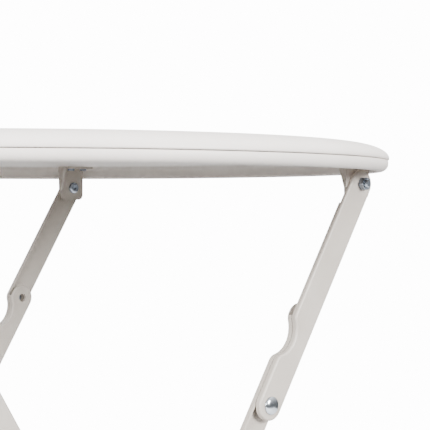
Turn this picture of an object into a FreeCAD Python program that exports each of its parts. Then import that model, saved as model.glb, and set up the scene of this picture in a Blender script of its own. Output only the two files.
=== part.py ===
import FreeCAD, Part
import Sketcher
import math
import os

# Round folding table on crossed legs, in millimetres. +Z is up, +X runs from the inner frame's hinge side
# to the stay side, and the hinge axes run along Y. The origin is on the floor, under the middle of the top.

DIMENSIONS = [
    # overall
    ("table_height", 1100.0),      # floor to the top's upper surface
    ("top_radius", 400.0),
    ("rim_depth", 30.0),           # upper surface to the bottom of the rim
    ("seam_drop", 18.0),           # upper surface to the seam between the two mouldings
    ("panel_thickness", 9.0),      # upper moulding, inside the rim
    ("skin_thickness", 5.0),       # lower moulding, inside the rim
    ("rim_wall", 12.0),
    ("crown_width", 42.0),         # how far the edge's crown reaches in from the rim
    ("crown_drop", 12.0),
    ("seam_step", 0.9),            # the lower moulding is this much smaller in radius
    # linkage
    ("hinge_drop", 42.0),          # upper surface to the top pivots
    ("hinge_reach", 270.0),        # top pivots from the middle, and the length of each upper link
    ("lean_angle", 31.9),          # legs from the vertical
    ("stay_half_width", 257.5),    # middle of the table to the outer face of an upper link
    ("inner_half_width", 137.0),   # middle of the table to the outer face of an inner leg
    ("link_width", 32.0),
    ("sheet_thickness", 2.5),
    ("link_flange", 6.0),          # flange depth of an upper link, with the sheet
    ("flange_start", 34.0),        # top pivot to where an upper link's flange gets its full depth
    ("end_lip", 4.0),              # flange depth round the top pivot, with the sheet
    ("bend_radius", 2.2),          # outside radius of the sheet's bends
    ("leg_flange", 7.0),           # flange depth of an outer leg, with the sheet
    ("tip_bare", 5.0),             # catch hole to the end of an outer leg's flange
    ("second_flange_start", 60.0), # crossing to the end of an outer leg's second flange
    ("inner_flange", 16.0),
    ("flange_gap", 0.8),           # between the two flanges that stand face to face
    ("catch_reach", 102.0),        # knee pivot to the catch hole in the outer leg's tip
    ("catch_radius", 5.2),
    ("stud_radius", 3.4),
    ("stud_height", 3.5),          # how far a catch stud stands off its upper link
    ("grip_reach", 72.0),          # knee pivot to the middle of the finger grip
    ("grip_radius", 27.0),
    ("grip_depth", 12.0),
    ("grip_shoulder", 12.0),
    # pins
    ("bolt_radius", 4.0),
    ("rivet_radius", 4.0),
    ("axle_radius", 8.0),
    ("pin_clearance", 0.05),
    ("side_clearance", 0.3),
    ("nut_width", 13.0),           # across flats
    ("nut_height", 6.5),
    ("bolt_head_radius", 7.2),
    ("bolt_head_height", 3.4),
    ("thread_end", 2.5),           # bolt length that shows past its nut
    ("rivet_head_radius", 9.4),
    ("rivet_head_height", 3.6),
    ("bush_radius", 7.0),
    # brackets
    ("bracket_long_side", 23.0),   # pivot to the bracket's edge that faces the middle of the table
    ("bracket_short_side", 16.0),
    ("bracket_tip", 16.0),         # bracket end below its pivot
    ("bracket_taper", 1.0),
    ("bracket_sheet", 3.0),
    ("bracket_foot", 24.0),        # how far the foot reaches in along the underside
    ("screw_head_radius", 4.6),
    ("screw_head_height", 2.4),
    ("screw_radius", 2.4),
    ("screw_spacing", 20.0),
    # feet and cross members
    ("tube_wall", 1.5),
    ("foot_bar_radius", 13.0),
    ("foot_bar_end", 236.0),       # middle of the table to the outer end of a foot bar cap
    ("cap_wall", 4.0),
    ("cap_length", 24.0),
    ("shoe_wall", 3.0),
    ("shoe_length", 42.0),
    ("stretcher_radius", 10.0),
    ("stretcher_reach", 620.0),    # crossing axle to the outer frame's stretcher, along the leg
    ("stretcher_offset", 28.0),    # leg's middle line to the stretcher
    ("stretcher_ear", 13.0),
]

doc = FreeCAD.newDocument("folding_table")
sheet = doc.addObject("Spreadsheet::Sheet", "Sheet")
for row, (alias, value) in enumerate(DIMENSIONS, start=1):
    sheet.set(f"A{row}", alias)
    sheet.set(f"B{row}", str(value))
    sheet.setAlias(f"B{row}", alias)
doc.recompute()

NEAR = -1                          # the side of the table at negative Y
FAR = 1
SIDES = ((NEAR, "near"), (FAR, "far"))
nodes = []


def size(alias):
    """Value of one cell of the sheet."""
    return float(sheet.get(alias))


def cells(text):
    """Expression text in which each known alias is prefixed with the sheet's name."""
    for alias in sorted((a for a, _ in DIMENSIONS), key=len, reverse=True):
        text = text.replace(alias, f"<{alias}>")
    while "<<" in text:
        text = text.replace("<<", "<").replace(">>", ">")
    return text.replace("<", "Sheet.").replace(">", "")


def keep(obj, label):
    """List an object as a sub-part under the name of its node."""
    obj.Label = label
    nodes.append(obj)
    return obj


# ---------------------------------------------------------------- places worked out from the sheet

def hinge_height():
    return size("table_height") - size("hinge_drop")


def ceiling_height():
    return size("table_height") - size("panel_thickness") - size("skin_thickness")


def lean():
    return math.radians(size("lean_angle"))


def crossing_height():
    return hinge_height() - size("hinge_reach") / math.tan(lean())


def crossing_reach():
    """Top pivot to the crossing axle, along a leg."""
    return size("hinge_reach") / math.sin(lean())


def link_web():
    """Outer and inner face of an upper link's web, from the middle of the table."""
    outer = size("stay_half_width")
    return outer, outer - size("sheet_thickness")


def leg_web():
    """Outer and inner face of an outer leg's web."""
    inner = size("stay_half_width") - size("link_flange") - size("flange_gap") - size("leg_flange")
    return inner + size("sheet_thickness"), inner


def inner_web():
    outer = size("inner_half_width")
    return outer, outer - size("sheet_thickness")


def stay_bracket_web():
    outer = link_web()[0] - size("end_lip") - size("side_clearance")
    return outer, outer - size("bracket_sheet")


def hinge_bracket_web():
    inner = inner_web()[0] + 2 * size("side_clearance")
    return inner + size("bracket_sheet"), inner


def shoe_radius():
    return size("link_width") / 2 + size("shoe_wall")


def cap_radius():
    return size("foot_bar_radius") + size("cap_wall")


def leaning(pivot_x, pivot_z, side_of_x):
    """Placement that tips a member's own Z axis onto its leg line, through the pivot."""
    turn = FreeCAD.Rotation(FreeCAD.Vector(0, 1, 0), side_of_x * size("lean_angle"))
    return FreeCAD.Placement(FreeCAD.Vector(pivot_x, 0, pivot_z), turn)


def along_leg(distance, offset, side_of_x):
    """X and Z of a point that is a distance up the leg line from the crossing and offset across it."""
    x = side_of_x * distance * math.sin(lean()) + offset * math.cos(lean())
    z = crossing_height() + distance * math.cos(lean()) - side_of_x * offset * math.sin(lean())
    return x, z


def flip(shape, side):
    """The shape as built on the near side, or its mirror image for the far side."""
    if side == FAR:
        return shape.mirror(FreeCAD.Vector(0, 0, 0), FreeCAD.Vector(0, 1, 0))
    return shape


# ---------------------------------------------------------------- small builders

def pin(name, radius, length, middle_x, start_y, middle_z):
    """Cylinder along +Y, bound to the sheet by two expressions."""
    obj = doc.addObject("Part::Cylinder", name)
    obj.setExpression("Radius", cells(radius))
    obj.setExpression("Height", cells(length))
    turn = FreeCAD.Rotation(FreeCAD.Vector(1, 0, 0), -90)
    obj.Placement = FreeCAD.Placement(FreeCAD.Vector(middle_x, start_y, middle_z), turn)
    return obj


def fuse(name, *shapes):
    obj = doc.addObject("Part::MultiFuse", name)
    obj.Shapes = list(shapes)
    return obj


def cut(name, base, tool):
    obj = doc.addObject("Part::Cut", name)
    obj.Base = base
    obj.Tool = tool
    return obj


def span(side, outer, inner):
    """Where a pin that runs from inner to outer starts, on either side of the table."""
    return inner if side == FAR else -outer


def origin_plane(body, role):
    return next(f for f in body.Origin.OriginFeatures if f.Role == role)


def sketch_on(body, role, offset=0.0):
    drawing = body.newObject("Sketcher::SketchObject", body.Name + "_sketch")
    drawing.AttachmentSupport = (origin_plane(body, role), [""])
    drawing.MapMode = "FlatFace"
    drawing.AttachmentOffset = FreeCAD.Placement(FreeCAD.Vector(0, 0, offset), FreeCAD.Rotation())
    return drawing


def bind_point(drawing, edge, end, across, up):
    """Hold one end of a sketch edge at the place that two expressions give."""
    for kind, text in (("DistanceX", across), ("DistanceY", up)):
        index = drawing.addConstraint(Sketcher.Constraint(kind, -1, 1, edge, end, evaluate(text)))
        drawing.setExpression(f"Constraints[{index}]", cells(text))


def closed_outline(drawing, points, arc_at=None):
    """Closed outline through points given as expressions; one edge may be an arc that starts level."""
    values = [(evaluate(x), evaluate(z)) for x, z in points]
    count = len(values)
    for i in range(count):
        start = FreeCAD.Vector(*values[i], 0)
        end = FreeCAD.Vector(*values[(i + 1) % count], 0)
        if i == arc_at:
            drawing.addGeometry(tangent_arc(start, end), False)
        else:
            drawing.addGeometry(Part.LineSegment(start, end), False)
    for i in range(count):
        following = (i + 1) % count
        end = 1 if i == arc_at else 2              # the crown's arc runs clockwise, so its ends are swapped
        begin = 2 if following == arc_at else 1
        drawing.addConstraint(Sketcher.Constraint("Coincident", i, end, following, begin))
    for i, (x, z) in enumerate(points):
        bind_point(drawing, i, 2 if i == arc_at else 1, x, z)
    if arc_at is not None:
        drawing.addConstraint(Sketcher.Constraint("Vertical", arc_at, 3, arc_at, 2))


def tangent_arc(start, end):
    """Arc that leaves start level and falls to end."""
    width = end.x - start.x
    drop = start.y - end.y
    radius = (width ** 2 + drop ** 2) / (2 * drop)
    circle = Part.Circle(FreeCAD.Vector(start.x, start.y - radius, 0), FreeCAD.Vector(0, 0, 1), radius)
    return Part.ArcOfCircle(circle, math.asin((radius - drop) / radius), math.pi / 2)


def evaluate(text):
    """Number that an expression of aliases gives, for placing sketch geometry before it is bound."""
    return float(sheet.evalExpression(cells(text).replace("Sheet.", "")))


def revolved(name, points, arc_at=None):
    body = doc.addObject("PartDesign::Body", name)
    drawing = sketch_on(body, "XZ_Plane")
    closed_outline(drawing, points, arc_at)
    doc.recompute()
    turned = body.newObject("PartDesign::Revolution", name + "_turned")
    turned.Profile = drawing
    turned.ReferenceAxis = (drawing, ["V_Axis"])
    turned.Angle = 360
    doc.recompute()
    return body


def edges_at(shape, radius, height):
    """Names of the circular edges of a turned part at one radius and height."""
    found = []
    for index, edge in enumerate(shape.Edges, start=1):
        curve = edge.Curve
        if isinstance(curve, Part.Circle) and abs(curve.Radius - radius) < 0.01:
            if abs(curve.Center.z - height) < 0.01 and abs(curve.Axis.z) > 0.99:
                found.append(f"Edge{index}")
    return found


def rounded(body, name, radius, places):
    """Fillet the circular edges at the given radii and heights."""
    names = []
    for place in places:
        names += edges_at(body.Shape, *place)
    turned = body.Tip
    fillet = body.newObject("PartDesign::Fillet", name)
    fillet.Base = (turned, names)
    fillet.Radius = radius
    doc.recompute()
    body.Tip = fillet
    doc.recompute()


def solid_feature(name, shape, placement):
    """Part::Feature for a pressed shape that neither PartDesign nor a primitive makes in one piece."""
    obj = doc.addObject("Part::Feature", name)
    obj.Shape = shape
    obj.Placement = placement.multiply(shape.Placement)
    return obj


# ---------------------------------------------------------------- the top

def tabletop():
    seam = "table_height - seam_drop"
    floor_of_panel = "table_height - panel_thickness"
    upper = revolved("Upper", [
        ("0", floor_of_panel), ("0", "table_height"), ("top_radius - crown_width", "table_height"),
        ("top_radius", "table_height - crown_drop"), ("top_radius", seam),
        ("top_radius - rim_wall", seam), ("top_radius - rim_wall", floor_of_panel)], arc_at=2)
    rounded(upper, "crown_edge", 5.0, [(size("top_radius"), size("table_height") - size("crown_drop"))])
    keep(upper, "top_moulding")


def underside():
    seam = "table_height - seam_drop"
    ceiling = "table_height - panel_thickness - skin_thickness"
    rim = "table_height - rim_depth"
    lower = revolved("Lower", [
        ("0", ceiling), ("0", "table_height - panel_thickness"),
        ("top_radius - rim_wall", "table_height - panel_thickness"), ("top_radius - rim_wall", seam),
        ("top_radius - seam_step", seam), ("top_radius - seam_step", rim),
        ("top_radius - rim_wall", rim), ("top_radius - rim_wall - skin_thickness / 2", ceiling)])
    rim_radius = size("top_radius") - size("seam_step")
    rim_height = size("table_height") - size("rim_depth")
    rounded(lower, "rim_outer_round", 7.0, [(rim_radius, rim_height)])
    rounded(lower, "rim_inner_round", 2.5, [(size("top_radius") - size("rim_wall"), rim_height)])
    holes = [pin_down(f"screw_hole_{i}", "screw_radius + pin_clearance", "skin_thickness", x, y)
             for i, (x, y) in enumerate(screw_places())]
    keep(cut("Lower_drilled", lower, fuse("Screw_holes", *holes)), "underside_moulding")


def pin_down(name, radius, length, x, y):
    """Vertical cylinder that starts at the ceiling of the underside and goes up."""
    obj = doc.addObject("Part::Cylinder", name)
    obj.setExpression("Radius", cells(radius))
    obj.setExpression("Height", cells(length))
    obj.Placement = FreeCAD.Placement(FreeCAD.Vector(x, y, ceiling_height()), FreeCAD.Rotation())
    return obj


def bracket_list():
    """Each bracket's label, pivot X, the Y of its face beside the link, and the way its foot points.
    The feet point away from the links: inwards on the stay brackets and outwards on the hinge brackets."""
    found = []
    for side, word in SIDES:
        found.append((f"stay_bracket_{word}", size("hinge_reach"), side * stay_bracket_web()[0], -side))
        found.append((f"hinge_bracket_{word}", -size("hinge_reach"), side * hinge_bracket_web()[1], side))
    return found


def screw_places():
    places = []
    toward_middle = (size("bracket_short_side") - size("bracket_long_side")) / 2
    for _, x, face_y, way in bracket_list():
        y = face_y + way * (size("bracket_sheet") + size("bracket_foot") / 2)
        middle = x + math.copysign(1, x) * toward_middle
        for step in (-0.5, 0.5):
            places.append((middle + step * size("screw_spacing"), y))
    return places


def bracket_shape():
    """Bracket with its pivot at the local origin, its web's face at y = 0 and its foot towards +Y."""
    left = -size("bracket_long_side")
    right = size("bracket_short_side")
    sheet_depth = size("bracket_sheet")
    top = ceiling_height() - hinge_height()
    tip = -size("bracket_tip")
    taper = size("bracket_taper")
    corner = 6.0
    bend = 0.3 * corner
    left_edge = ((left, top), (left, top - 2 * sheet_depth), (left + taper, tip + corner))
    web_points = left_edge + (
        (left + taper + bend, tip + bend), (left + taper + corner, tip), (right - corner, tip),
        (right - bend, tip + bend), (right, tip + corner), (right, top))
    web = panel(web_points).extrude(FreeCAD.Vector(0, sheet_depth, 0))
    foot = Part.makeBox(right - left, size("bracket_foot"), sheet_depth,
                        FreeCAD.Vector(left, 0, top - sheet_depth))
    strip_points = left_edge + ((left + taper + sheet_depth, tip + corner), (left + sheet_depth, top))
    strip = panel(strip_points).extrude(FreeCAD.Vector(0, size("bracket_foot"), 0))
    reach = 0.55 * size("bracket_foot")
    wedge_outline = Part.makePolygon([FreeCAD.Vector(left, y, z) for y, z in (
        (0, top), (reach, top), (sheet_depth, tip + 2 * corner), (0, tip + corner), (0, top))])
    wedge = Part.Face(wedge_outline).extrude(FreeCAD.Vector(right - left, 0, 0))
    joined = web.fuse([foot, strip.common(wedge)])
    hole = Part.makeCylinder(size("bolt_radius") + size("pin_clearance"), 4 * sheet_depth,
                             FreeCAD.Vector(0, -sheet_depth, 0), FreeCAD.Vector(0, 1, 0))
    joined = joined.cut(hole)
    for step in (-0.5, 0.5):
        drill_x = (left + right) / 2 + step * size("screw_spacing")
        drill_place = FreeCAD.Vector(drill_x, sheet_depth + size("bracket_foot") / 2, top - 2 * sheet_depth)
        drill = Part.makeCylinder(size("screw_radius") + size("pin_clearance"), 3 * sheet_depth, drill_place)
        joined = joined.cut(drill)
    return joined.removeSplitter()


def panel(points):
    """Flat face on the XZ plane through the given points."""
    corners = [FreeCAD.Vector(x, 0, z) for x, z in points]
    return Part.Face(Part.makePolygon(corners + corners[:1]))


def brackets():
    for label, x, face_y, way in bracket_list():
        shape = bracket_shape()
        if x < 0:
            shape = shape.mirror(FreeCAD.Vector(0, 0, 0), FreeCAD.Vector(1, 0, 0))
        place = FreeCAD.Placement(FreeCAD.Vector(x, face_y, hinge_height()), FreeCAD.Rotation())
        keep(solid_feature(label.title(), flip(shape, -way), place), label)


def screws():
    """Pan-head screws that hold the brackets' feet to the underside."""
    made = []
    for i, (x, y) in enumerate(screw_places()):
        foot_face = ceiling_height() - size("bracket_sheet")
        shank = pin_down(f"screw_shank_{i}", "screw_radius",
                         "skin_thickness + bracket_sheet - side_clearance", x, y)
        shank.Placement.Base.z = foot_face
        head = pin_down(f"screw_head_{i}", "screw_head_radius", "screw_head_height", x, y)
        head.Placement.Base.z = foot_face - size("screw_head_height")
        made.append(fuse(f"Screw_{i}", shank, head))
    group = doc.addObject("Part::Compound", "Screws")
    group.Links = made
    keep(group, "bracket_screws")


# ---------------------------------------------------------------- pressed links and legs

def edge_outline(inset, foot, tip, grips, right):
    """Wire of a pressed link's outline, inset from its left edge; the right side is straight and far out,
    or when right is None the outline is the link's own, round at both ends."""
    half = size("link_width") / 2 - inset
    up = []
    for grip in grips:
        up += grip_edges(grip, inset, half)
    edges = []
    last = FreeCAD.Vector(-half, 0, foot)
    for edge in up:
        if last.distanceToPoint(edge.StartPoint) > 1e-6:
            edges.append(Part.LineSegment(last, edge.StartPoint).toShape())
        edges.append(edge.toShape())
        last = edge.EndPoint
    tip_left = FreeCAD.Vector(-half, 0, tip)
    edges.append(Part.LineSegment(last, tip_left).toShape())
    if right is None:
        edges.append(three_point(tip_left, (0, tip + half), (half, tip)))
        edges.append(Part.LineSegment(FreeCAD.Vector(half, 0, tip), FreeCAD.Vector(half, 0, foot)).toShape())
        edges.append(three_point(FreeCAD.Vector(half, 0, foot), (0, foot - half), (-half, foot)))
    else:
        bend = half * math.sqrt(0.5)
        edges.append(three_point(tip_left, (-bend, tip + bend), (0, tip + half)))
        path = [FreeCAD.Vector(0, 0, tip + half), FreeCAD.Vector(right, 0, tip + half),
                FreeCAD.Vector(right, 0, foot - half), FreeCAD.Vector(0, 0, foot - half)]
        edges += [Part.LineSegment(a, b).toShape() for a, b in zip(path, path[1:])]
        edges.append(three_point(path[-1], (-bend, foot - bend), (-half, foot)))
    return Part.Wire(Part.__sortEdges__(edges))


def three_point(start, middle, end):
    through = FreeCAD.Vector(middle[0], 0, middle[1])
    return Part.Arc(start, through, FreeCAD.Vector(end[0], 0, end[1])).toShape()


def grip_edges(middle, inset, half):
    """Shoulder, hollow and shoulder of a finger grip pressed into the left edge, from foot to tip."""
    shoulder = size("grip_shoulder")
    radius = size("grip_radius")
    out = radius - size("grip_depth")
    edge = -(half + inset)
    rise = math.sqrt((radius + shoulder) ** 2 - (out + shoulder) ** 2)
    hollow = FreeCAD.Vector(edge - out, 0, middle)
    arcs = []
    for way in (-1, 1):
        centre = FreeCAD.Vector(edge + shoulder, 0, middle + way * rise)
        toward = (hollow - centre).normalize()
        on_line = FreeCAD.Vector(edge + inset, 0, centre.z)
        on_hollow = centre + toward * (shoulder - inset)
        between = ((on_line - centre).normalize() + toward).normalize()
        ends = (on_line, on_hollow) if way < 0 else (on_hollow, on_line)
        arcs.append(Part.Arc(ends[0], centre + between * (shoulder - inset), ends[1]))
    deepest = FreeCAD.Vector(hollow.x + radius + inset, 0, middle)
    arcs.insert(1, Part.Arc(arcs[0].EndPoint, deepest, arcs[1].StartPoint))
    return arcs


def pressed(foot, tip, grips, depth, web_first):
    """Pressed link in its own frame: web and left flange. The web starts at y = 0 when web_first, or else
    ends at y = depth, where the flange's free edge would be."""
    sheet_depth = size("sheet_thickness")
    blank = Part.Face(edge_outline(0, foot, tip, grips, None)).extrude(FreeCAD.Vector(0, depth, 0))
    blank = bent_edge(blank, 0 if web_first else depth)
    hollow = Part.Face(edge_outline(sheet_depth, foot, tip, grips, 2 * size("link_width")))
    hollow.translate(FreeCAD.Vector(0, sheet_depth if web_first else 0, 0))
    return blank.cut(hollow.extrude(FreeCAD.Vector(0, depth - sheet_depth, 0)))


def bent_edge(blank, face_y):
    """Blank with the outline of its web's outer face rounded, as a press leaves a bend."""
    edges = [edge for edge in blank.Edges if abs(edge.BoundBox.YMin - face_y) < 0.001
             and abs(edge.BoundBox.YMax - face_y) < 0.001]
    return blank.makeFillet(size("bend_radius"), edges)


def drilled(shape, height, radius):
    """The shape with a hole along Y, at a height on its own frame."""
    reach = 3 * size("inner_flange")
    start = FreeCAD.Vector(0, -reach, height)
    return shape.cut(Part.makeCylinder(radius, 2 * reach, start, FreeCAD.Vector(0, 1, 0)))


def knee_reach():
    """Crossing axle to the knee pivot, along the leg."""
    return crossing_reach() - size("hinge_reach")


def upper_links():
    """Upper links in the frame of the knee: web outside, flange towards the middle of the table."""
    length = size("hinge_reach")
    shape = pressed(0, length, [size("grip_reach")], size("link_flange"), True)
    width = size("link_width")
    shallow_end = Part.makeBox(2 * width, size("link_flange"), 2 * width, FreeCAD.Vector(
        -width, size("end_lip"), length - size("flange_start")))
    shape = shape.cut(shallow_end)
    shape = drilled(shape, 0, size("rivet_radius") + size("pin_clearance"))
    shape = drilled(shape, length, size("bolt_radius") + size("pin_clearance"))
    shape.translate(FreeCAD.Vector(0, -link_web()[0], 0))
    x, z = along_leg(knee_reach(), 0, 1)
    for side, word in SIDES:
        keep(solid_feature(f"Upper_link_{word}", flip(shape, side), leaning(x, z, 1)), f"upper_link_{word}")


def foot_reach(radius):
    """Crossing axle to the middle of a round foot of this radius that stands on the floor."""
    return (crossing_height() - radius) / math.cos(lean())


def outer_legs():
    """Outer legs in the frame of the crossing: web inside, flanges outwards, catch hole at the tip."""
    tip = knee_reach() + size("catch_reach")
    foot = -foot_reach(shoe_radius())
    depth = size("leg_flange")
    sheet_depth = size("sheet_thickness")
    shape = pressed(foot, tip, [knee_reach() + size("grip_reach")], depth, False)
    far_flange = Part.makeBox(sheet_depth, depth, -foot - size("second_flange_start"), FreeCAD.Vector(
        size("link_width") / 2 - sheet_depth, 0, foot))
    ear_place = FreeCAD.Vector(-size("stretcher_offset"), depth - sheet_depth, -size("stretcher_reach"))
    ear = Part.makeCylinder(size("stretcher_ear"), sheet_depth, ear_place, FreeCAD.Vector(0, 1, 0))
    neck = Part.makeBox(size("stretcher_offset"), sheet_depth, 2 * size("stretcher_ear"), FreeCAD.Vector(
        -size("stretcher_offset"), depth - sheet_depth, -size("stretcher_reach") - size("stretcher_ear")))
    half = size("link_width") / 2
    open_tip = Part.makeBox(2 * half, depth - sheet_depth, 2 * half, FreeCAD.Vector(
        -half, 0, tip - size("tip_bare")))
    shape = shape.cut(open_tip)
    shape = shape.fuse([far_flange, ear, neck]).removeSplitter()
    shape = drilled(shape, 0, size("axle_radius"))
    shape = drilled(shape, knee_reach(), size("rivet_radius"))
    shape = drilled(shape, tip, size("catch_radius"))
    shape.translate(FreeCAD.Vector(0, -leg_web()[1] - depth, 0))
    for side, word in SIDES:
        place = leaning(0, crossing_height(), 1)
        keep(solid_feature(f"Outer_leg_{word}", flip(shape, side), place), f"outer_leg_{word}")


def inner_legs():
    """Inner legs in the frame of the crossing: channels that open towards the middle of the table."""
    foot = -foot_reach(cap_radius())
    sheet_depth = size("sheet_thickness")
    depth = size("inner_flange")
    blank = Part.Face(edge_outline(0, foot, crossing_reach(), [], None)).extrude(FreeCAD.Vector(0, depth, 0))
    blank = bent_edge(blank, 0)
    hollow = Part.Face(edge_outline(sheet_depth, foot, crossing_reach(), [], None))
    hollow.translate(FreeCAD.Vector(0, sheet_depth, 0))
    shape = blank.cut(hollow.extrude(FreeCAD.Vector(0, depth, 0)))
    shape = drilled(shape, crossing_reach(), size("bolt_radius") + size("pin_clearance"))
    shape = drilled(shape, foot, size("foot_bar_radius"))
    shape.translate(FreeCAD.Vector(0, -inner_web()[0], 0))
    for side, word in SIDES:
        place = leaning(0, crossing_height(), -1)
        keep(solid_feature(f"Inner_leg_{word}", flip(shape, side), place), f"inner_leg_{word}")


# ---------------------------------------------------------------- pins, bushes and fasteners

def hexagon(name, width, height, x, y, z, bore):
    """Hexagon nut along +Y with a plain bore."""
    prism = doc.addObject("Part::Prism", name + "_blank")
    prism.Polygon = 6
    prism.setExpression("Circumradius", cells(f"{width} / 2 / cos(30deg)"))
    prism.setExpression("Height", cells(height))
    turn = FreeCAD.Rotation(FreeCAD.Vector(1, 0, 0), -90)
    prism.Placement = FreeCAD.Placement(FreeCAD.Vector(x, y, z), turn)
    return cut(name, prism, pin(name + "_bore", bore, height, x, y, z))


def stay_bolts():
    """Bolt from the inside through bracket and upper link, with its nut outside."""
    x = size("hinge_reach")
    z = hinge_height()
    gap = size("side_clearance")
    for side, word in SIDES:
        head_face = stay_bracket_web()[1]
        nut_face = link_web()[0] + gap
        end = nut_face + size("nut_height") + size("thread_end")
        length = f"{end - head_face}"
        shank = pin(f"stay_shank_{word}", "bolt_radius", length, x, span(side, end, head_face), z)
        head_end = head_face - size("bolt_head_height")
        head = pin(f"stay_head_{word}", "bolt_head_radius", "bolt_head_height", x,
                   span(side, head_face, head_end), z)
        socket_start = span(side, head_end + 2.4, head_end)
        socket = pin(f"stay_socket_{word}", "bolt_radius * 0.7", "2.4", x, socket_start, z)
        keep(cut(f"Stay_bolt_{word}", fuse(f"stay_blank_{word}", shank, head), socket), f"stay_bolt_{word}")
        nut_start = span(side, nut_face + size("nut_height"), nut_face)
        nut = hexagon(f"Stay_nut_{word}", "nut_width", "nut_height", x, nut_start, z, "bolt_radius")
        keep(nut, f"stay_nut_{word}")


def dome(radius, height, bulge_up):
    """Low domed head on the Y axis, its flat at y = 0 and its crown at +y or -y."""
    ball = (radius ** 2 + height ** 2) / (2 * height)
    way = 1 if bulge_up else -1
    sphere = Part.makeSphere(ball, FreeCAD.Vector(0, way * (height - ball), 0))
    keeper = Part.makeCylinder(radius + 1, height + 1, FreeCAD.Vector(0, 0, 0), FreeCAD.Vector(0, way, 0))
    return sphere.common(keeper)


def knee_rivets():
    """Domed rivet through the outer leg's web and the upper link, with a bush between the two webs."""
    x, z = along_leg(knee_reach(), 0, 1)
    gap = size("side_clearance")
    head_face = link_web()[0] + gap
    tail_face = leg_web()[1]
    shank = Part.makeCylinder(size("rivet_radius"), head_face - tail_face, FreeCAD.Vector(0, -head_face, 0),
                              FreeCAD.Vector(0, 1, 0))
    head = dome(size("rivet_head_radius"), size("rivet_head_height"), False)
    head.translate(FreeCAD.Vector(0, -head_face, 0))
    tail = dome(size("bush_radius"), 0.6 * size("rivet_head_height"), True)
    tail.translate(FreeCAD.Vector(0, -tail_face, 0))
    shape = shank.fuse([head, tail])
    for side, word in SIDES:
        place = FreeCAD.Placement(FreeCAD.Vector(x, 0, z), FreeCAD.Rotation())
        keep(solid_feature(f"Knee_rivet_{word}", flip(shape, side), place), f"knee_rivet_{word}")
        outer = link_web()[1] - gap
        inner = leg_web()[0]
        start = span(side, outer, inner)
        blank = pin(f"knee_bush_blank_{word}", "bush_radius", f"{outer - inner}", x, start, z)
        bore = pin(f"knee_bush_bore_{word}", "rivet_radius", f"{outer - inner}", x, start, z)
        keep(cut(f"Knee_bush_{word}", blank, bore), f"knee_bush_{word}")


def catch_studs():
    """Stud on each upper link that shows through the catch hole when the stay is straight."""
    x, z = along_leg(knee_reach() + size("catch_reach"), 0, 1)
    outer = link_web()[1]
    for side, word in SIDES:
        start = span(side, outer, outer - size("stud_height"))
        base_start = span(side, outer, outer - 1.5)
        stem = pin(f"stud_stem_{word}", "stud_radius", "stud_height", x, start, z)
        base = pin(f"stud_base_{word}", "stud_radius + 2", "1.5", x, base_start, z)
        keep(fuse(f"Catch_stud_{word}", stem, base), f"catch_stud_{word}")


def hinge_bolts():
    """Bolt from the inside through an inner leg and a bush into its bracket, with its nut outside."""
    x = -size("hinge_reach")
    z = hinge_height()
    gap = size("side_clearance")
    bracket_outer, bracket_inner = hinge_bracket_web()
    web_outer, web_inner = inner_web()
    for side, word in SIDES:
        head_face = web_inner - gap
        end = bracket_outer + size("nut_height") + size("thread_end")
        shank = pin(f"hinge_shank_{word}", "bolt_radius", f"{end - head_face}", x,
                    span(side, end, head_face), z)
        head_end = head_face - size("bolt_head_height")
        head = pin(f"hinge_head_{word}", "bolt_head_radius", "bolt_head_height", x,
                   span(side, head_face, head_end), z)
        socket = pin(f"hinge_socket_{word}", "bolt_radius * 0.7", "2.4", x,
                     span(side, head_end + 2.4, head_end), z)
        blank = fuse(f"hinge_blank_{word}", shank, head)
        keep(cut(f"Hinge_bolt_{word}", blank, socket), f"hinge_bolt_{word}")
        nut_start = span(side, bracket_outer + size("nut_height"), bracket_outer)
        keep(hexagon(f"Hinge_nut_{word}", "nut_width", "nut_height", x, nut_start, z, "bolt_radius"),
             f"hinge_nut_{word}")


def crossing():
    """Tube between the inner legs, and a stub axle with a sleeve on each outer leg. The linkage is open
    here: a stub's end stands the side clearance off the inner frame's washer."""
    z = crossing_height()
    gap = size("side_clearance")
    tube_end = inner_web()[1]
    outside = pin("crossing_outside", "axle_radius + 2", f"{2 * tube_end}", 0, -tube_end, z)
    inside = pin("crossing_inside", "axle_radius + 2 - tube_wall", f"{2 * tube_end}", 0, -tube_end, z)
    keep(cut("Crossing_tube", outside, inside), "crossing_tube")
    washer_face = inner_web()[0] + size("sheet_thickness")
    for side, word in SIDES:
        start = span(side, washer_face, inner_web()[0])
        keep(pin(f"Crossing_washer_{word}", "axle_radius + 4", "sheet_thickness", 0, start, z),
             f"crossing_washer_{word}")
        web_outer, web_inner = leg_web()
        cover_end = web_outer + gap + 3
        stub_end = cover_end - 1.5
        stub_start = washer_face + gap
        stub = pin(f"Stub_axle_{word}", "axle_radius", f"{stub_end - stub_start}", 0,
                   span(side, stub_end, stub_start), z)
        keep(stub, f"stub_axle_{word}")
        cover = pin(f"axle_cover_{word}", "axle_radius + 3.5", f"{cover_end - web_outer}", 0,
                    span(side, cover_end, web_outer), z)
        pocket = pin(f"axle_pocket_{word}", "axle_radius", f"{stub_end - web_outer}", 0,
                     span(side, stub_end, web_outer), z)
        keep(cut(f"Axle_cap_{word}", cover, pocket), f"axle_cap_{word}")
        start = span(side, web_inner, stub_start)
        length = f"{web_inner - stub_start}"
        blank = pin(f"axle_sleeve_blank_{word}", "axle_radius + 2", length, 0, start, z)
        bore = pin(f"axle_sleeve_bore_{word}", "axle_radius", length, 0, start, z)
        keep(cut(f"Axle_sleeve_{word}", blank, bore), f"axle_sleeve_{word}")


# ---------------------------------------------------------------- feet and cross members

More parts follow.
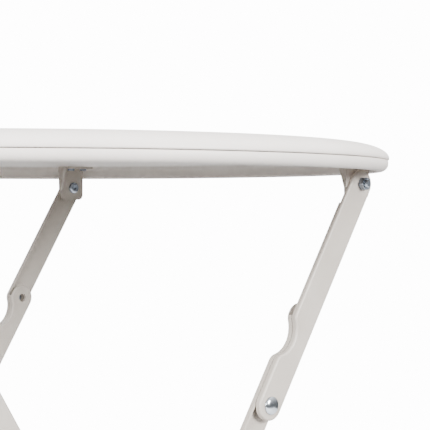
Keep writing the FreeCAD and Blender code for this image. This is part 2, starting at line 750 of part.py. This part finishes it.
def foot_bar():
    """Round bar through the feet of the inner legs, with a plastic cap on each end to stand on."""
    x, z = along_leg(-foot_reach(cap_radius()), 0, -1)
    end = size("foot_bar_end") - size("cap_wall")
    outside = pin("bar_outside", "foot_bar_radius", f"{2 * end}", x, -end, z)
    inside = pin("bar_inside", "foot_bar_radius - tube_wall", f"{2 * end}", x, -end, z)
    keep(cut("Foot_bar", outside, inside), "foot_bar")
    for side, word in SIDES:
        far_end = size("foot_bar_end")
        start = span(side, far_end, far_end - size("cap_length"))
        cover = pin(f"cap_outside_{word}", "foot_bar_radius + cap_wall", "cap_length", x, start, z)
        pocket_start = span(side, end, far_end - size("cap_length"))
        pocket = pin(f"cap_inside_{word}", "foot_bar_radius", "cap_length - cap_wall", x, pocket_start, z)
        keep(cut(f"Bar_cap_{word}", cover, pocket), f"bar_cap_{word}")


def stretcher():
    """Tube between the ears of the outer legs, kept clear of the inner frame when the table is folded."""
    x, z = along_leg(-size("stretcher_reach"), -size("stretcher_offset"), 1)
    end = leg_web()[1]
    outside = pin("stretcher_outside", "stretcher_radius", f"{2 * end}", x, -end, z)
    inside = pin("stretcher_inside", "stretcher_radius - tube_wall", f"{2 * end}", x, -end, z)
    keep(cut("Stretcher", outside, inside), "outer_stretcher")


def shoe_blank(extra, start_y, depth, length):
    """Stadium-shaped block round the foot of an outer leg, in the frame of its foot."""
    half = size("link_width") / 2 + extra
    tower = Part.makeBox(2 * half, depth, length, FreeCAD.Vector(-half, start_y, 0))
    toe = Part.makeCylinder(half, depth, FreeCAD.Vector(0, start_y, 0), FreeCAD.Vector(0, 1, 0))
    return tower.fuse(toe).removeSplitter()


def shoes():
    """Plastic shoe on the foot of each outer leg."""
    wall = size("shoe_wall")
    depth = size("leg_flange")
    outer = -leg_web()[1] - depth
    block = shoe_blank(wall, outer - wall, depth + 2 * wall, size("shoe_length"))
    block = block.cut(shoe_blank(0, outer, depth, size("shoe_length") + 1))
    x, z = along_leg(-foot_reach(shoe_radius()), 0, 1)
    for side, word in SIDES:
        keep(solid_feature(f"Outer_shoe_{word}", flip(block, side), leaning(x, z, 1)), f"outer_shoe_{word}")


# ---------------------------------------------------------------- build, check and write

def check_and_write():
    doc.recompute()
    for obj in doc.Objects:
        if "Invalid" in obj.State or "Error" in obj.State:
            raise RuntimeError(f"{obj.Name} failed: {obj.State}")
    os.makedirs("parts", exist_ok=True)
    for obj in nodes:
        if obj.Shape.isNull() or not obj.Shape.isValid() or not obj.Shape.Solids:
            raise RuntimeError(f"{obj.Label} has no valid solid")
    for obj in nodes:
        obj.Shape.exportStep(f"parts/{obj.Label}.step")
    print(len(nodes), "parts written")


for build in (tabletop, underside, brackets, screws, upper_links, outer_legs, inner_legs, stay_bolts,
              knee_rivets, catch_studs, hinge_bolts, crossing, foot_bar, stretcher, shoes):
    build()
check_and_write()
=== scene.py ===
import math

import bmesh
import bpy
from bpy.props import FloatProperty, FloatVectorProperty, IntProperty, PointerProperty
from mathutils import Matrix, Vector


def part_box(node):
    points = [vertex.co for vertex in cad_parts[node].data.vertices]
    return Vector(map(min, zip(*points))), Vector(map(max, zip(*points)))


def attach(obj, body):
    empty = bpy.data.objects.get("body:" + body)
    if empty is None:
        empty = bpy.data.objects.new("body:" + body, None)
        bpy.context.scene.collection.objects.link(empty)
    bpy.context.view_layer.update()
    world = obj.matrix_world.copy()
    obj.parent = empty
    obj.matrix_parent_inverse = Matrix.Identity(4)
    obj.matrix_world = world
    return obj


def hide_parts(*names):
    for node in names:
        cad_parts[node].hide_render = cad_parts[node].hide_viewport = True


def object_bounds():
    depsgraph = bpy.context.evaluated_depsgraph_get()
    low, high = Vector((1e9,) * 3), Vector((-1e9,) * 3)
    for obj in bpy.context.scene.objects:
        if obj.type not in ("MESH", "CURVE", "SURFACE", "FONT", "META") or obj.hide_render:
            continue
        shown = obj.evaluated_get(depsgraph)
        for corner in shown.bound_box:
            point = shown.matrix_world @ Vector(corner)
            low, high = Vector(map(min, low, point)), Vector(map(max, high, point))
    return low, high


bl_info = {
    "name": "Round folding table",
    "version": (1, 0, 0),
    "blender": (4, 5, 0),
    "location": "View3D > Sidebar > Folding table",
    "description": "Finishes a round folding table on crossed steel legs",
    "category": "Object",
}

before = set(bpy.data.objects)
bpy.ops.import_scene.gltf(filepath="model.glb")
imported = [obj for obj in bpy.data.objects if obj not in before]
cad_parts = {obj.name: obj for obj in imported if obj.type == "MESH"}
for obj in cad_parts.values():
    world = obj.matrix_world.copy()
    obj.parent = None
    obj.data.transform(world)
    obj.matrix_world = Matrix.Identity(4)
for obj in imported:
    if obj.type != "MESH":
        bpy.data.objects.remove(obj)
cad_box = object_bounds()

MM = 0.001
SIDES = (("near", -1), ("far", 1))
RIM_WALL = 0.012                   # thickness of both mouldings at the rim
EASED_EDGE = 0.0012                # radius beside the seam
PIN_RADIUS = 0.004                 # bolts and rivets
SHEET = 0.0025                     # pressed sheet of the legs
THIN_TUBE = 0.010                  # radius of the crossing tube, its sleeves and the stretcher
FOOT_TUBE = 0.013                  # radius of the foot bar


# ---------------------------------------------------------------- colours and materials

def linear(code):
    """Linear RGBA from an sRGB hex code."""
    channels = [int(code[i:i + 2], 16) / 255 for i in (1, 3, 5)]
    return tuple(c / 12.92 if c <= 0.04045 else ((c + 0.055) / 1.055) ** 2.4 for c in channels) + (1.0,)


def add_node(tree, kind, settings=None, links=None):
    """Add a shader node, set its sockets by name or attributes, and link others' outputs into it."""
    node = tree.nodes.new(kind)
    for name, value in (settings or {}).items():
        if name in node.inputs:
            node.inputs[name].default_value = value
        else:
            setattr(node, name, value)
    for name, output in (links or {}).items():
        tree.links.new(output, node.inputs[name])
    return node


def new_material(name, settings):
    """Material with a single principled shader; returns it with its tree and shader."""
    material = bpy.data.materials.new(name)
    material.use_nodes = True
    tree = material.node_tree
    shader = tree.nodes["Principled BSDF"]
    for socket, value in settings.items():
        shader.inputs[socket].default_value = value
    return material, tree, shader


def add_relief(tree, shader, grain_mm, height_mm, detail, strength):
    """Fine surface relief from noise whose grain has a real size."""
    place = add_node(tree, "ShaderNodeTexCoord")
    noise = add_node(tree, "ShaderNodeTexNoise",
                     {"Scale": 1 / (grain_mm * MM), "Detail": detail, "Roughness": 0.55},
                     {"Vector": place.outputs["Object"]})
    bump = add_node(tree, "ShaderNodeBump", {"Strength": strength, "Distance": height_mm * MM},
                    {"Height": noise.outputs["Fac"]})
    tree.links.new(bump.outputs["Normal"], shader.inputs["Normal"])
    return noise


def add_mottle(tree, shader, patch_mm, low, high, colour_from, colour_to):
    """Slow drift of colour over the surface, such as from handling or an uneven coat."""
    place = add_node(tree, "ShaderNodeTexCoord")
    noise = add_node(tree, "ShaderNodeTexNoise", {"Scale": 1 / (patch_mm * MM), "Detail": 3.0},
                     {"Vector": place.outputs["Object"]})
    ramp = add_node(tree, "ShaderNodeValToRGB", None, {"Fac": noise.outputs["Fac"]})
    first, last = ramp.color_ramp.elements
    first.position = low
    first.color = linear(colour_from)
    last.position = high
    last.color = linear(colour_to)
    tree.links.new(ramp.outputs["Color"], shader.inputs["Base Color"])


def moulded_hdpe():
    """Blow-moulded polyethylene: off-white and satin, with the mould's fine spark-eroded grain."""
    material, tree, shader = new_material("moulded_hdpe", {"IOR": 1.54, "Roughness": 0.42,
                                                           "Specular IOR Level": 0.4})
    shader.inputs["Subsurface Weight"].default_value = 0.06
    shader.inputs["Subsurface Radius"].default_value = (0.004, 0.0035, 0.003)
    add_mottle(tree, shader, 60.0, 0.3, 0.75, "#EFE8E2", "#F4EDE7")
    add_relief(tree, shader, 0.9, 0.05, 4.0, 0.25)
    return material


def powder_coat():
    """Powder-coated steel sheet: warm light grey, satin, with the slight orange peel of a baked coat."""
    material, tree, shader = new_material("powder_coat", {"IOR": 1.5, "Roughness": 0.38, "Coat Weight": 0.15,
                                                          "Coat Roughness": 0.25})
    add_mottle(tree, shader, 35.0, 0.3, 0.7, "#BFB6AC", "#C8C0B6")
    add_relief(tree, shader, 1.6, 0.06, 2.0, 0.3)
    return material


def zinc_plate():
    """Bright zinc-plated steel: bluish grey metal with a fine, slightly cloudy plating."""
    material, tree, shader = new_material("zinc_plate", {"Metallic": 1.0, "Roughness": 0.3})
    add_mottle(tree, shader, 3.0, 0.25, 0.8, "#6E757E", "#9AA1AB")
    add_relief(tree, shader, 0.6, 0.02, 3.0, 0.35)
    return material


def nickel_plate():
    """Bright nickel-plated rivet: smooth and cool, so its dome mirrors the surroundings."""
    material, tree, shader = new_material("nickel_plate", {"Metallic": 1.0, "Roughness": 0.16})
    add_mottle(tree, shader, 4.0, 0.2, 0.8, "#9DA3AA", "#B7BCC2")
    add_relief(tree, shader, 2.0, 0.02, 2.0, 0.2)
    return material


def foot_rubber():
    """Moulded rubber: near black and matt, greyed a little where it is scuffed."""
    material, tree, shader = new_material("foot_rubber", {"IOR": 1.52, "Roughness": 0.72})
    add_mottle(tree, shader, 12.0, 0.35, 0.8, "#222224", "#343436")
    add_relief(tree, shader, 0.8, 0.08, 4.0, 0.5)
    return material


MAKERS = {"moulded_hdpe": moulded_hdpe, "powder_coat": powder_coat, "zinc_plate": zinc_plate,
          "nickel_plate": nickel_plate, "foot_rubber": foot_rubber}


def finish_of(name):
    """The material of this name, made the first time it is asked for."""
    return bpy.data.materials.get(name) or MAKERS[name]()


def paint(piece, name):
    """Give the whole piece one finish."""
    piece.data.materials.clear()
    piece.data.materials.append(finish_of(name))


# ---------------------------------------------------------------- meshes

def mesh_piece(name, vertices, faces, sharp_degrees=35.0):
    """Smooth-shaded piece whose edges stay sharp above an angle between faces."""
    mesh = bpy.data.meshes.new(name)
    mesh.from_pydata(vertices, [], faces)
    mesh.update()
    shape = bmesh.new()
    shape.from_mesh(mesh)
    bmesh.ops.recalc_face_normals(shape, faces=shape.faces)
    for edge in shape.edges:
        edge.smooth = len(edge.link_faces) < 2 or edge.calc_face_angle(0.0) < math.radians(sharp_degrees)
    for face in shape.faces:
        face.smooth = True
    shape.to_mesh(mesh)
    shape.free()
    piece = bpy.data.objects.new(name, mesh)
    bpy.context.scene.collection.objects.link(piece)
    return piece


def swept_rings(rings, count):
    """Faces between rings of count points, with a fan where a ring is a single point."""
    faces = []
    start = 0
    for ring, following in zip(rings, rings[1:]):
        near = start
        far = start + len(ring)
        for i in range(count):
            j = (i + 1) % count
            if len(ring) == 1:
                faces.append((near, far + i, far + j))
            elif len(following) == 1:
                faces.append((near + i, near + j, far))
            else:
                faces.append((near + i, near + j, far + j, far + i))
        start += len(ring)
    return faces


def turned(name, outline, count, axis="Z", radius_at=None):
    """Piece turned about an axis from (radius, height) points, with radii that radius_at may change."""
    rings = []
    for radius, height in outline:
        if radius <= 0:
            rings.append([(0.0, 0.0, height)])
            continue
        ring = []
        for i in range(count):
            angle = 2 * math.pi * i / count
            r = radius_at(radius, height, angle) if radius_at else radius
            ring.append((r * math.cos(angle), r * math.sin(angle), height))
        rings.append(ring)
    vertices = [Vector(p) for ring in rings for p in ring]
    if axis == "Y":
        vertices = [Vector((p.x, -p.z, p.y)) for p in vertices]
    return mesh_piece(name, vertices, swept_rings(rings, count))


def arc(centre, size, first, last, steps):
    """Points of an elliptical arc as (radius, height), angles in degrees."""
    points = []
    for i in range(steps + 1):
        angle = math.radians(first + (last - first) * i / steps)
        points.append((centre[0] + size[0] * math.cos(angle), centre[1] + size[1] * math.sin(angle)))
    return points


def soften(piece, width, segments=2, angle=40.0):
    """Round the edges that a press brake or a barrel tumbler would round."""
    bevel = piece.modifiers.new("rounded_edges", "BEVEL")
    bevel.width = width
    bevel.segments = segments
    bevel.limit_method = "ANGLE"
    bevel.angle_limit = math.radians(angle)
    bevel.harden_normals = False
    for polygon in piece.data.polygons:
        polygon.use_smooth = True
    weighted = piece.modifiers.new("flat_faces", "WEIGHTED_NORMAL")
    weighted.keep_sharp = True


def smooth_bends(piece, angle=50.0):
    """Shade a pressed part's modelled bends as round, and leave its cut edges crisp."""
    piece.data.set_sharp_from_angle(angle=math.radians(angle))


def middle_of(node):
    """Centre of a CAD node's box."""
    low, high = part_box(node)
    return (low + high) / 2


def facing_out(piece, side):
    """Turn a piece made to face -Y round, if it belongs on the far side."""
    if side > 0:
        piece.data.transform(Matrix.Rotation(math.pi, 4, "Z"))


def place(piece, where, body, slot, finish, *nodes):
    """Bake the piece's place into its mesh, ride it on its body and let it stand for CAD nodes."""
    piece.data.transform(Matrix.Translation(where))
    paint(piece, finish)
    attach(piece, body)
    if nodes:
        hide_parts(*nodes)


# ---------------------------------------------------------------- settings

class TABLE_PG_top(bpy.types.PropertyGroup):
    crown: FloatProperty(name="Crown width", description="How far the crowned edge reaches in from the rim",
                         default=0.042, unit="LENGTH")
    seam: FloatProperty(name="Seam gap", description="Open line between the two mouldings",
                        default=0.0006, unit="LENGTH")
    rim_round: FloatProperty(name="Rim round", description="Radius of the rim's lower outer edge",
                             default=0.0085, unit="LENGTH")
    facets: IntProperty(name="Segments", description="Segments round the top", default=384, min=64)


class TABLE_PG_metal(bpy.types.PropertyGroup):
    edge: FloatProperty(name="Edge round", description="Radius on the edges of the pressed sheet",
                        default=0.0007, unit="LENGTH")
    thread_pitch: FloatProperty(name="Thread pitch", description="Distance between two turns of the thread",
                                default=0.00125, unit="LENGTH")
    thread_depth: FloatProperty(name="Thread depth", description="Depth of the bolt thread",
                                default=0.0006, unit="LENGTH")
    bead: FloatProperty(name="Weld bead", description="Radius of a weld bead", default=0.0016, unit="LENGTH")


class TABLE_PG_stage(bpy.types.PropertyGroup):
    floor: FloatProperty(name="Floor size", description="Side of the square floor",
                         default=6.0, unit="LENGTH")
    floor_colour: FloatVectorProperty(name="Floor colour", description="Pale floor", subtype="COLOR", size=4,
                                      default=linear("#F7F7F7"))
    backdrop: FloatProperty(name="Backdrop", description="Brightness of the white backdrop itself",
                            default=14.0)
    sky: FloatProperty(name="Light from above", description="Strength of the soft light overhead",
                       default=3.0)
    ground: FloatProperty(name="Light from below", description="Strength of the light from underneath",
                          default=0.3)
    key: FloatProperty(name="Key light", description="Power of the large soft light",
                       default=280.0, unit="POWER")
    eye_distance: FloatProperty(name="Eye distance", description="Camera to the table's upright axis",
                                default=1.652, unit="LENGTH")
    eye_bearing: FloatProperty(name="Eye bearing", description="Where the camera stands, from -Y towards -X",
                               default=math.radians(36.22), subtype="ANGLE")
    eye_turn: FloatProperty(name="Eye turn", description="Direction of view, from +Y towards +X",
                            default=math.radians(43.60), subtype="ANGLE")
    eye_drop: FloatProperty(name="Eye below top", description="Camera below the table's upper surface",
                            default=0.0668, unit="LENGTH")
    lens: FloatProperty(name="Lens", description="Focal length on a 36 mm sensor, in mm", default=125.6)


# ---------------------------------------------------------------- operators

class TABLE_OT_top(bpy.types.Operator):
    """Turn the upper moulding with its crowned edge"""
    bl_idname = "table.top"
    bl_label = "Top moulding"

    def execute(self, context):
        sizes = context.scene.table_top
        low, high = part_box("top_moulding")
        radius = min(-low.x, high.x, -low.y, high.y)
        seam = low.z + sizes.seam / 2
        edge = EASED_EDGE
        crown_low = seam + 0.0016
        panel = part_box("underside_moulding")[1].z
        outline = [(0, high.z)]
        outline += arc((radius - sizes.crown, crown_low), (sizes.crown, high.z - crown_low), 90, 0, 28)
        outline += arc((radius - edge, seam + edge), (edge, edge), 0, -90, 5)
        outline += [(radius - RIM_WALL, seam), (radius - RIM_WALL, panel), (0, panel)]
        piece = turned("table_top", outline, sizes.facets)
        place(piece, Vector(), "tabletop", "top_plastic", "moulded_hdpe", "top_moulding")
        return {"FINISHED"}


class TABLE_OT_underside(bpy.types.Operator):
    """Turn the lower moulding with its rounded rim and recessed underside"""
    bl_idname = "table.underside"
    bl_label = "Underside moulding"

    def execute(self, context):
        sizes = context.scene.table_top
        low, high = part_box("underside_moulding")
        radius = min(-low.x, high.x, -low.y, high.y)
        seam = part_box("top_moulding")[0].z - sizes.seam / 2
        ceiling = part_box("stay_bracket_near")[1].z
        wall = RIM_WALL
        edge = EASED_EDGE
        inner = 0.0035                             # radius of the rim's inner edge
        root = 0.006                               # radius where the rim's inside meets the ceiling
        foot = sizes.rim_round
        outline = [(0, high.z), (radius - wall, high.z), (radius - wall, seam)]
        outline += arc((radius - edge, seam - edge), (edge, edge), 90, 0, 5)
        outline += arc((radius - foot, low.z + foot), (foot, foot), 0, -90, 12)
        outline += arc((radius - wall + inner - 0.001, low.z + inner), (inner, inner), -90, -180, 8)
        outline += arc((radius - wall - 0.0015 - root, ceiling - root), (root, root), 0, 90, 8)
        outline += [(0, ceiling)]
        piece = turned("table_underside", outline, sizes.facets)
        place(piece, Vector(), "tabletop", "underside_plastic", "moulded_hdpe", "underside_moulding")
        return {"FINISHED"}


class TABLE_OT_sheet_parts(bpy.types.Operator):
    """Coat the pressed links, legs, brackets and tubes, round the brackets' edges and shade the other
    pressed parts' bends as round
    """
    bl_idname = "table.sheet_parts"
    bl_label = "Steel parts"

    def execute(self, context):
        width = context.scene.table_metal.edge
        pressed = [f"{part}_{word}" for word, _ in SIDES for part in
                   ("upper_link", "outer_leg", "inner_leg", "stay_bracket", "hinge_bracket")]
        tubes = ["foot_bar", "outer_stretcher", "crossing_tube", "axle_sleeve_near", "axle_sleeve_far"]
        for name in pressed + tubes:
            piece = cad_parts[name]
            paint(piece, "powder_coat")
            if "bracket" in name:
                soften(piece, width)
            elif name in pressed:
                smooth_bends(piece)
        return {"FINISHED"}


def thread_radius(sizes):
    """Radius of a threaded bolt at a height and an angle, as one turn of a V thread per pitch."""
    def shape(radius, height, angle):
        turns = height / sizes.thread_pitch - angle / (2 * math.pi)
        return radius - sizes.thread_depth * abs(2 * (turns - math.floor(turns)) - 1)
    return shape


def hexagon_radius(flat_radius, thickness):
    """Radius of a hexagon whose corners are turned off at 45 degrees at both faces."""
    def shape(radius, height, angle):
        wedge = angle % (math.pi / 3) - math.pi / 6
        corner = radius / math.cos(wedge)
        from_face = min(height, thickness - height)
        return min(corner, flat_radius + 0.0001 + from_face)
    return shape


class TABLE_OT_bolts(bpy.types.Operator):
    """Make the pivot bolts with threaded ends and chamfered nuts"""
    bl_idname = "table.bolts"
    bl_label = "Bolts and nuts"

    def execute(self, context):
        sizes = context.scene.table_metal
        for pivot in ("stay", "hinge"):
            for word, side in SIDES:
                self.bolt(sizes, pivot, word, side)
                self.nut(pivot, word, side)
        return {"FINISHED"}

    def bolt(self, sizes, pivot, word, side):
        node = f"{pivot}_bolt_{word}"
        low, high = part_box(node)
        length = high.y - low.y
        head = (high.x - low.x) / 2
        shank = PIN_RADIUS
        head_height = 0.0034
        head_round = 0.0022
        steps = 90                                 # rings along the thread
        thread_start = length - 0.010
        thread_end = length - 0.0006
        outline = [(0, 0.0026), (shank * 0.62, 0.0024), (shank * 0.7, 0.0003), (head * 0.62, 0.0)]
        outline += arc((head * 0.62, head_round), (head * 0.38, head_round), -90, 0, 8)[1:]
        outline += [(head, head_height), (shank, head_height), (shank, thread_start)]
        outline += [(shank, thread_start + (thread_end - thread_start) * i / steps)
                    for i in range(1, steps + 1)]
        outline += [(shank * 0.78, length), (0, length)]
        plain = thread_radius(sizes)

        def shape(radius, height, angle):
            threaded = thread_start < height < length and abs(radius - shank) < 1e-6
            return plain(radius, height, angle) if threaded else radius

        piece = turned(f"{pivot}_bolt_with_thread_{word}", outline, 40, "Y", shape)
        facing_out(piece, side)
        middle = (low + high) / 2
        start = high.y if side < 0 else low.y
        place(piece, Vector((middle.x, start, middle.z)), "tabletop", "zinc_hardware", "zinc_plate", node)

    def nut(self, pivot, word, side):
        node = f"{pivot}_nut_{word}"
        low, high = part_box(node)
        height = high.y - low.y
        flat = 0.0065                              # half of the 13 mm across flats
        bore = PIN_RADIUS
        outline = [(bore, 0.0004), (bore + 0.0006, 0.0)]
        outline += [(flat, height * i / 16) for i in range(17)]
        outline += [(bore + 0.0006, height), (bore, height - 0.0004), (bore, 0.0004)]
        hexagon = hexagon_radius(flat, height)

        def shape(radius, z, angle):
            return hexagon(radius, z, angle) if radius == flat else radius

        piece = turned(f"{pivot}_nut_chamfered_{word}", outline, 96, "Y", shape)
        facing_out(piece, side)
        middle = (low + high) / 2
        start = high.y if side < 0 else low.y
        place(piece, Vector((middle.x, start, middle.z)), "tabletop", "zinc_hardware", "zinc_plate", node)


class TABLE_OT_rivets(bpy.types.Operator):
    """Make the domed knee rivets"""
    bl_idname = "table.rivets"
    bl_label = "Knee rivets"

    def execute(self, context):
        for word, side in SIDES:
            node = f"knee_rivet_{word}"
            low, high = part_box(node)
            length = high.y - low.y
            head = (high.x - low.x) / 2
            dome = 0.0036                          # height of the head
            tail = 0.0022                          # height of the peened end
            tail_radius = 0.0068
            outline = [(0, 0)] + arc((0, tail), (tail_radius, tail), -90, 0, 8)[1:]
            outline += [(PIN_RADIUS, tail), (PIN_RADIUS, length - dome), (head - 0.0002, length - dome)]
            outline += arc((0, length - dome + 0.0006), (head, dome - 0.0006), 0, 90, 18)
            outline[-1] = (0, length)
            piece = turned(f"knee_rivet_domed_{word}", outline, 64, "Y")
            facing_out(piece, side)
            middle = (low + high) / 2
            start = high.y if side < 0 else low.y
            where = Vector((middle.x, start, middle.z))
            place(piece, where, "outer_legs", "polished_rivet", "nickel_plate", node)
        return {"FINISHED"}


class TABLE_OT_small_hardware(bpy.types.Operator):
    """Plate the studs, washers, bushes, screws, stub axles and their caps"""
    bl_idname = "table.small_hardware"
    bl_label = "Small hardware"

    def execute(self, context):
        paired = [f"{part}_{word}" for word, _ in SIDES for part in
                  ("catch_stud", "knee_bush", "stub_axle", "axle_cap", "crossing_washer")]
        for name in paired + ["bracket_screws"]:
            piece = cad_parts[name]
            paint(piece, "zinc_plate")
            soften(piece, 0.0003)
        return {"FINISHED"}


class TABLE_OT_feet(bpy.types.Operator):
    """Finish the rubber shoes and bar caps"""
    bl_idname = "table.feet"
    bl_label = "Feet"

    def execute(self, context):
        for part in ("outer_shoe", "bar_cap"):
            for word, _ in SIDES:
                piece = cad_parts[f"{part}_{word}"]
                paint(piece, "foot_rubber")
                soften(piece, 0.0008, 3)
        return {"FINISHED"}


class TABLE_OT_welds(bpy.types.Operator):
    """Lay weld beads where the tubes meet the legs"""
    bl_idname = "table.welds"
    bl_label = "Weld beads"

    def execute(self, context):
        bead = context.scene.table_metal.bead
        for word, side in SIDES:
            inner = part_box(f"inner_leg_{word}")
            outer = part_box(f"outer_leg_{word}")
            inner_face = inner[0].y + SHEET if side < 0 else inner[1].y - SHEET
            outer_face = outer[1].y if side < 0 else outer[0].y
            crossing = middle_of("crossing_tube")
            open_edge = inner[1].y if side < 0 else inner[0].y
            foot = middle_of("foot_bar")
            stretcher = middle_of("outer_stretcher")
            self.ring(f"crossing_weld_{word}", crossing, inner_face, THIN_TUBE, side, bead, "inner_legs")
            self.ring(f"sleeve_weld_{word}", crossing, outer_face, THIN_TUBE, side, bead, "outer_legs")
            self.ring(f"foot_weld_{word}", foot, open_edge, FOOT_TUBE, side, bead, "inner_legs")
            self.ring(f"stretcher_weld_{word}", stretcher, outer_face, THIN_TUBE, side, bead, "outer_legs")
        return {"FINISHED"}

    def ring(self, name, middle, y, radius, side, bead, body):
        """Rippled bead round a tube that lies along Y, against the face at y."""
        around = 120                               # points along the bead
        across = 8                                 # points round its section
        ripples = 26
        sunk = 0.3 * bead
        vertices = []
        for i in range(around):
            angle = 2 * math.pi * i / around
            size = bead * (1 + 0.18 * abs(math.sin(ripples * angle / 2)))
            for j in range(across):
                turn = 2 * math.pi * j / across
                r = radius + sunk + size * math.cos(turn)
                vertices.append(Vector((r * math.cos(angle), size * math.sin(turn), r * math.sin(angle))))
        faces = []
        for i in range(around):
            for j in range(across):
                k = (i + 1) % around
                m = (j + 1) % across
                faces.append((i * across + j, k * across + j, k * across + m, i * across + m))
        piece = mesh_piece(name, vertices, faces, 60.0)
        place(piece, Vector((middle.x, y - side * sunk, middle.z)), body, "coated_steel", "powder_coat")


class TABLE_OT_stage(bpy.types.Operator):
    """Set the floor, the soft lights and the camera"""
    bl_idname = "table.stage"
    bl_label = "Stage"

    def execute(self, context):
        sizes = context.scene.table_stage
        self.floor(sizes)
        self.surround(context, sizes)
        self.lights(context, sizes)
        self.camera(context, sizes)
        return {"FINISHED"}

    def floor(self, sizes):
        half = sizes.floor / 2
        corners = [(-half, -half, 0), (half, -half, 0), (half, half, 0), (-half, half, 0)]
        piece = mesh_piece("pale_floor", corners, [(0, 1, 2, 3)])
        material, _, _ = new_material("pale_paper", {"Base Color": sizes.floor_colour, "Roughness": 0.9})
        piece.data.materials.append(material)
        piece.visible_diffuse = False              # keeps the underside in shade, as over a dark floor

    def surround(self, context, sizes):
        """White backdrop behind the table, which lights it more from above than from below."""
        world = bpy.data.worlds.new("white_surround")
        world.use_nodes = True
        tree = world.node_tree
        backdrop = tree.nodes["Background"]
        backdrop.inputs["Color"].default_value = (1.0, 1.0, 1.0, 1.0)
        backdrop.inputs["Strength"].default_value = sizes.backdrop
        direction = add_node(tree, "ShaderNodeTexCoord")
        parts = add_node(tree, "ShaderNodeSeparateXYZ", None, {"Vector": direction.outputs["Generated"]})
        strength = add_node(tree, "ShaderNodeMapRange",
                            {"From Min": -0.02, "From Max": 0.75,
                             "To Min": sizes.ground, "To Max": sizes.sky},
                            {"Value": parts.outputs["Z"]})
        soft = add_node(tree, "ShaderNodeBackground", {"Color": (1.0, 1.0, 1.0, 1.0)},
                        {"Strength": strength.outputs["Result"]})
        path = add_node(tree, "ShaderNodeLightPath")
        mixed = add_node(tree, "ShaderNodeMixShader", None, {"Fac": path.outputs["Is Camera Ray"]})
        tree.links.new(soft.outputs["Background"], mixed.inputs[1])
        tree.links.new(backdrop.outputs["Background"], mixed.inputs[2])
        tree.links.new(mixed.outputs["Shader"], tree.nodes["World Output"].inputs["Surface"])
        context.scene.world = world

    def lights(self, context, sizes):
        """Large key light from the left and a weaker one from the front, both just above the top."""
        _, high = cad_box
        spots = (("key_light", (-3.3, -1.2, high.z + 0.75), 1.5, 0.9),
                 ("front_light", (0.6, -3.4, high.z + 0.7), 1.1, 0.7))
        for name, where, width, share in spots:
            light = bpy.data.lights.new(name, "AREA")
            light.shape = "DISK"
            light.size = width
            light.energy = sizes.key * share
            lamp = bpy.data.objects.new(name, light)
            lamp.location = where
            aim = Vector((0, 0, high.z - 0.2)) - Vector(where)
            lamp.rotation_euler = aim.to_track_quat("-Z", "Y").to_euler()
            context.scene.collection.objects.link(lamp)

    def camera(self, context, sizes):
        _, high = cad_box
        view = bpy.data.cameras.new("eye")
        view.lens = sizes.lens
        view.sensor_width = 36.0
        view.shift_y = -0.02
        eye = bpy.data.objects.new("eye", view)
        eye.location = (-sizes.eye_distance * math.sin(sizes.eye_bearing),
                        -sizes.eye_distance * math.cos(sizes.eye_bearing), high.z - sizes.eye_drop)
        eye.rotation_euler = (math.pi / 2, 0.0, -sizes.eye_turn)
        context.scene.collection.objects.link(eye)
        context.scene.camera = eye


class TABLE_PT_sidebar(bpy.types.Panel):
    bl_label = "Folding table"
    bl_idname = "TABLE_PT_sidebar"
    bl_space_type = "VIEW_3D"
    bl_region_type = "UI"
    bl_category = "Folding table"

    def draw(self, context):
        for operator in OPERATORS:
            self.layout.operator(operator.bl_idname)
        for group in GROUPS:
            for name in GROUPS[group].__annotations__:
                self.layout.prop(getattr(context.scene, group), name)


GROUPS = {"table_top": TABLE_PG_top, "table_metal": TABLE_PG_metal, "table_stage": TABLE_PG_stage}
OPERATORS = (TABLE_OT_top, TABLE_OT_underside, TABLE_OT_sheet_parts, TABLE_OT_bolts, TABLE_OT_rivets,
             TABLE_OT_small_hardware, TABLE_OT_feet, TABLE_OT_welds, TABLE_OT_stage)


def register():
    for group, kind in GROUPS.items():
        bpy.utils.register_class(kind)
        setattr(bpy.types.Scene, group, PointerProperty(type=kind))
    for kind in OPERATORS + (TABLE_PT_sidebar,):
        bpy.utils.register_class(kind)


def unregister():
    for kind in reversed(OPERATORS + (TABLE_PT_sidebar,)):
        bpy.utils.unregister_class(kind)
    for group, kind in GROUPS.items():
        delattr(bpy.types.Scene, group)
        bpy.utils.unregister_class(kind)


def main():
    register()
    bpy.ops.table.top()
    bpy.ops.table.underside()
    bpy.ops.table.sheet_parts()
    bpy.ops.table.bolts()
    bpy.ops.table.rivets()
    bpy.ops.table.small_hardware()
    bpy.ops.table.feet()
    bpy.ops.table.welds()
    bpy.ops.table.stage()


if __name__ == "__main__":
    main()
